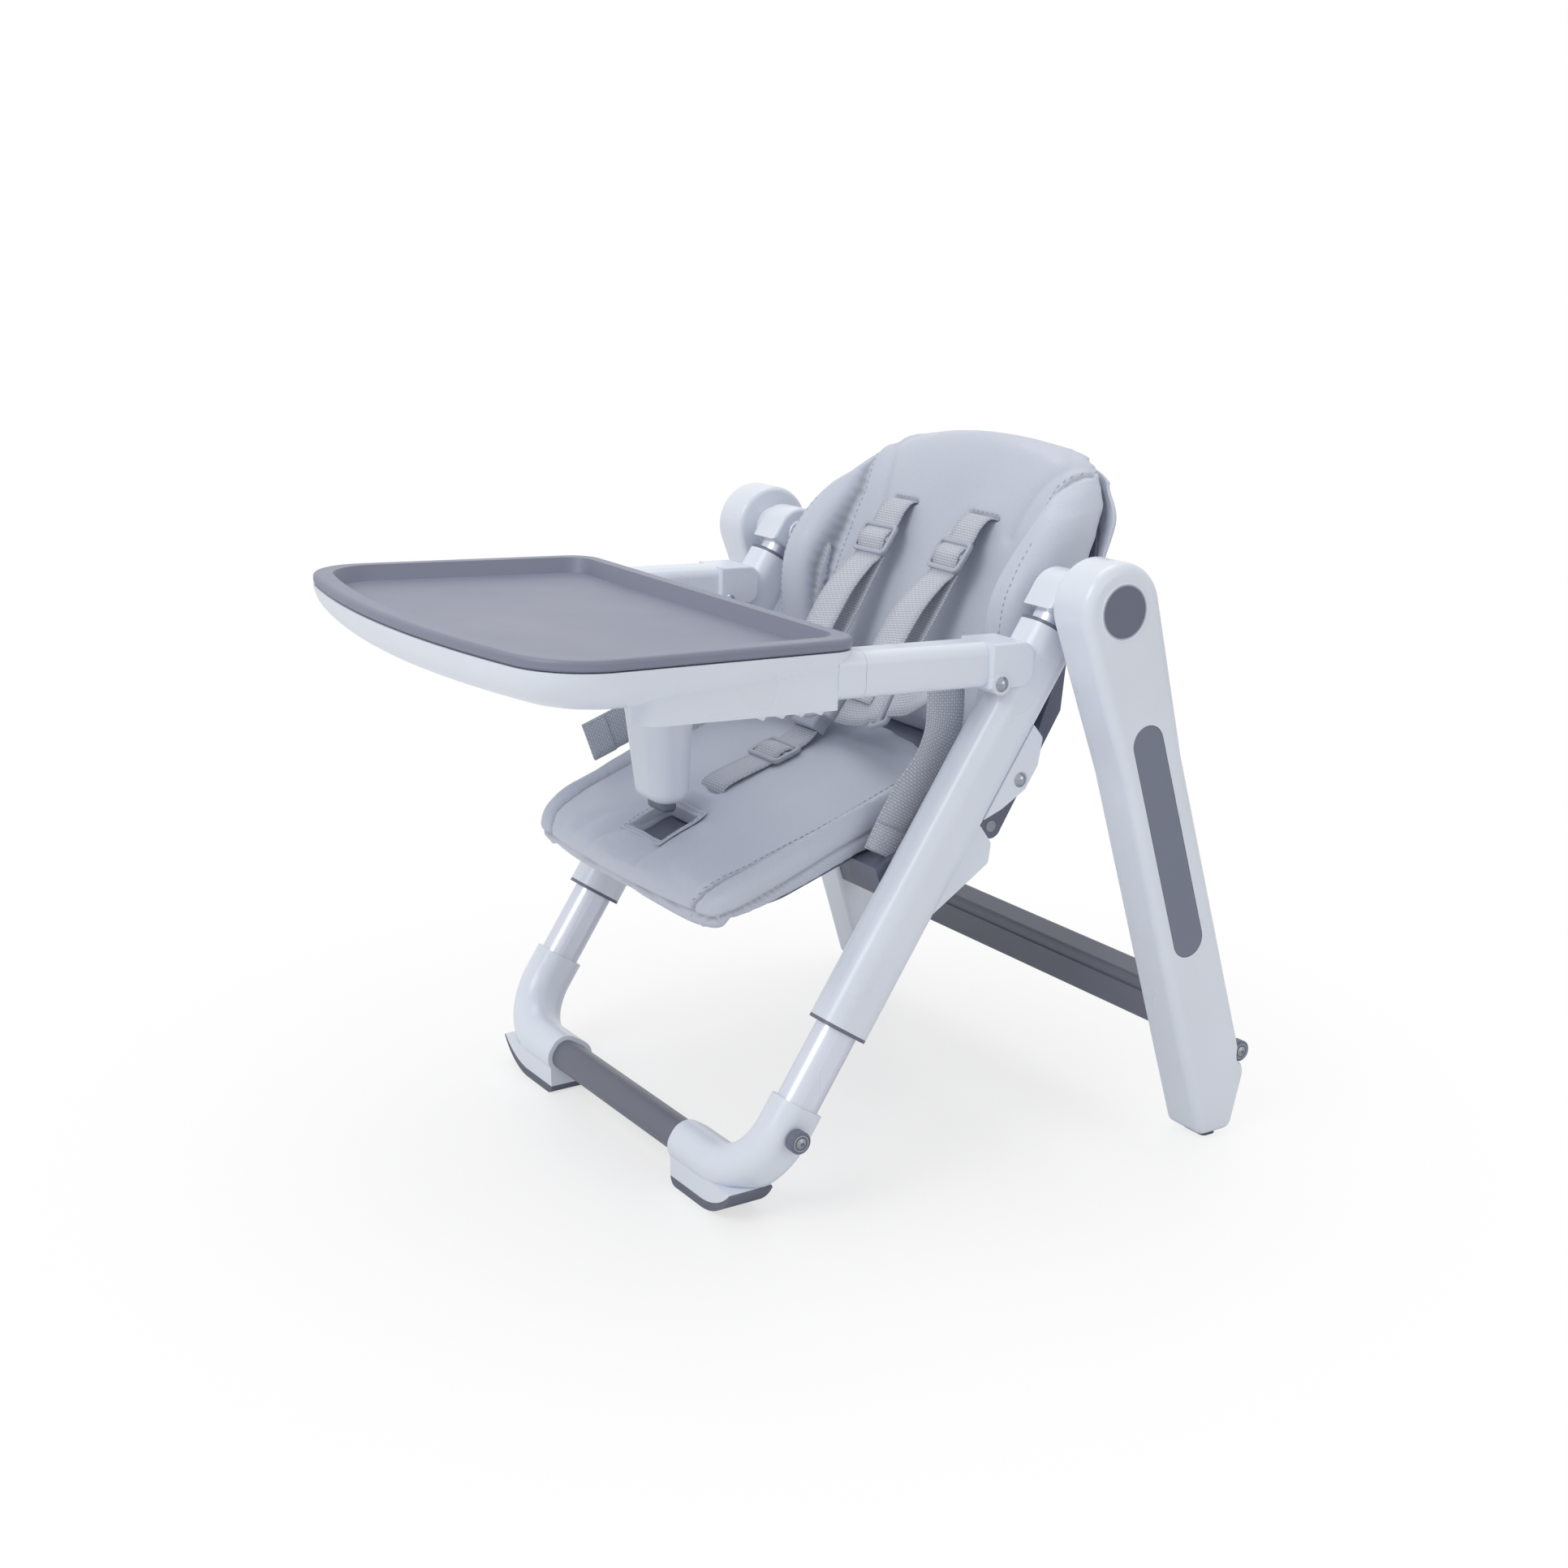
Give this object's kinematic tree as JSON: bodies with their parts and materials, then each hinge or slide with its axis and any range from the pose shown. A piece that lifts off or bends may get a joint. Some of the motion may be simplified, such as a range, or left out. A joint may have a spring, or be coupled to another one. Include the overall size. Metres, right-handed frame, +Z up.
{
  "type": "baby high chair",
  "caption": "Low folding baby high chair with a height-adjusting padded seat, reclining backrest, safety harness and a slide-out food tray on A-shaped legs.",
  "frame": {"origin": "on the floor under the middle of the whole chair", "axes": "+Z up, the front of the chair faces -Y, the chair's left side is +X"},
  "size_m": [0.58, 0.6788, 0.5931],
  "materials": {
    "white_plastic": "satin moulded",
    "grey_plastic": "fine matt moulded",
    "grey_satin": "satin moulded",
    "bare_tube": "satin anodised",
    "grey_metal": "powder coat",
    "grey_rubber": "matt",
    "steel": "plain",
    "chrome": "polished",
    "leather": "soft grained",
    "webbing": "woven",
    "buckle_plastic": "satin moulded"
  },
  "bodies": {
    "front_frame": {"leg_tube_left": "bare_tube", "leg_tube_right": "bare_tube", "front_elbow_left": "white_plastic", "front_elbow_right": "white_plastic", "front_crossbar": "grey_metal", "front_foot_pad_left": "grey_rubber", "front_foot_pad_right": "grey_rubber", "front_roller_axles": "steel", "hub_knuckle_left": "white_plastic", "hub_knuckle_right": "white_plastic", "hub_pins": "steel"},
    "rear_frame": {"rear_leg_shell_left": "white_plastic", "rear_leg_shell_right": "white_plastic", "rear_leg_cover_left": "white_plastic", "rear_leg_cover_right": "white_plastic", "rear_leg_inlay_left": "grey_plastic", "rear_leg_inlay_right": "grey_plastic", "rear_crossbar": "grey_metal", "rear_foot_pad_left": "grey_rubber", "rear_foot_pad_right": "grey_rubber", "rear_roller_axles": "steel"},
    "seat_carriage": {"leg_sleeve_left": "white_plastic", "leg_sleeve_right": "white_plastic", "upper_bushes": "grey_plastic", "lower_bushes": "grey_plastic", "bracket_screws": "chrome", "arm_saddle_left": "white_plastic", "arm_saddle_right": "white_plastic", "tray_arm_left": "white_plastic", "tray_arm_right": "white_plastic", "arm_bolts": "chrome", "seat_shell": "grey_plastic", "seat_cushion": "leather", "recline_pins": "steel", "crotch_strap": "webbing", "lap_strap_left": "webbing", "lap_strap_right": "webbing", "strap_tail_left": "webbing", "strap_tail_right": "webbing", "strap_sliders": "buckle_plastic", "harness_buckle": "buckle_plastic"},
    "backrest": {"back_shell": "grey_plastic", "back_cushion": "leather", "shoulder_strap_left": "webbing", "shoulder_strap_right": "webbing", "shoulder_sliders": "buckle_plastic"},
    "tray": {"tray_base": "white_plastic", "tray_liner": "grey_satin", "tray_post": "white_plastic", "tray_racks": "white_plastic"},
    "fold_button_left": {"fold_button_left": "grey_plastic"},
    "fold_button_right": {"fold_button_right": "grey_plastic"},
    "height_button_left": {"height_button_left": "grey_plastic"},
    "height_button_right": {"height_button_right": "grey_plastic"},
    "buckle_button": {"buckle_button": "buckle_plastic"},
    "front_roller_left": {"front_roller_left": "grey_plastic"},
    "front_roller_right": {"front_roller_right": "grey_plastic"},
    "rear_roller_left": {"rear_roller_left": "grey_plastic"},
    "rear_roller_right": {"rear_roller_right": "grey_plastic"}
  },
  "joints": [
    {"name": "fold_hinge", "type": "hinge", "parent": "front_frame", "child": "rear_frame", "pos_m": [0, 0.17537, 0.483], "axis": [-1, 0, 0], "range_deg": [0, 40]},
    {"name": "height_slide", "type": "slide", "parent": "front_frame", "child": "seat_carriage", "axis": [0, 0.5621, 0.8271], "range_m": [-0.055, 0.006]},
    {"name": "recline_hinge", "type": "hinge", "parent": "seat_carriage", "child": "backrest", "pos_m": [0, 0.13108, 0.28494], "axis": [-1, 0, 0], "range_deg": [0, 25]},
    {"name": "tray_slide", "type": "slide", "parent": "seat_carriage", "child": "tray", "axis": [0, -0.9987, 0.0506], "range_m": [0, 0.06]},
    {"name": "fold_button_left_press", "type": "slide", "parent": "rear_frame", "child": "fold_button_left", "axis": [-1, 0, 0], "range_m": [0, 0.004], "stiffness_N_per_m": 800},
    {"name": "fold_button_right_press", "type": "slide", "parent": "rear_frame", "child": "fold_button_right", "axis": [1, 0, 0], "range_m": [0, 0.004], "stiffness_N_per_m": 800},
    {"name": "height_button_left_press", "type": "slide", "parent": "seat_carriage", "child": "height_button_left", "axis": [1, 0, 0], "range_m": [0, 0.002], "stiffness_N_per_m": 500},
    {"name": "height_button_right_press", "type": "slide", "parent": "seat_carriage", "child": "height_button_right", "axis": [-1, 0, 0], "range_m": [0, 0.002], "stiffness_N_per_m": 500},
    {"name": "buckle_button_press", "type": "slide", "parent": "seat_carriage", "child": "buckle_button", "axis": [0, 0.7986, -0.6018], "range_m": [0, 0.002], "stiffness_N_per_m": 600},
    {"name": "front_roller_left_spin", "type": "hinge", "parent": "front_frame", "child": "front_roller_left", "pos_m": [0, -0.10235, 0.07435], "axis": [1, 0, 0], "continuous": true},
    {"name": "front_roller_right_spin", "type": "hinge", "parent": "front_frame", "child": "front_roller_right", "pos_m": [0, -0.10235, 0.07435], "axis": [1, 0, 0], "continuous": true},
    {"name": "rear_roller_left_spin", "type": "hinge", "parent": "rear_frame", "child": "rear_roller_left", "pos_m": [0, 0.32993, 0.07286], "axis": [1, 0, 0], "continuous": true},
    {"name": "rear_roller_right_spin", "type": "hinge", "parent": "rear_frame", "child": "rear_roller_right", "pos_m": [0, 0.32993, 0.07286], "axis": [1, 0, 0], "continuous": true}
  ]
}
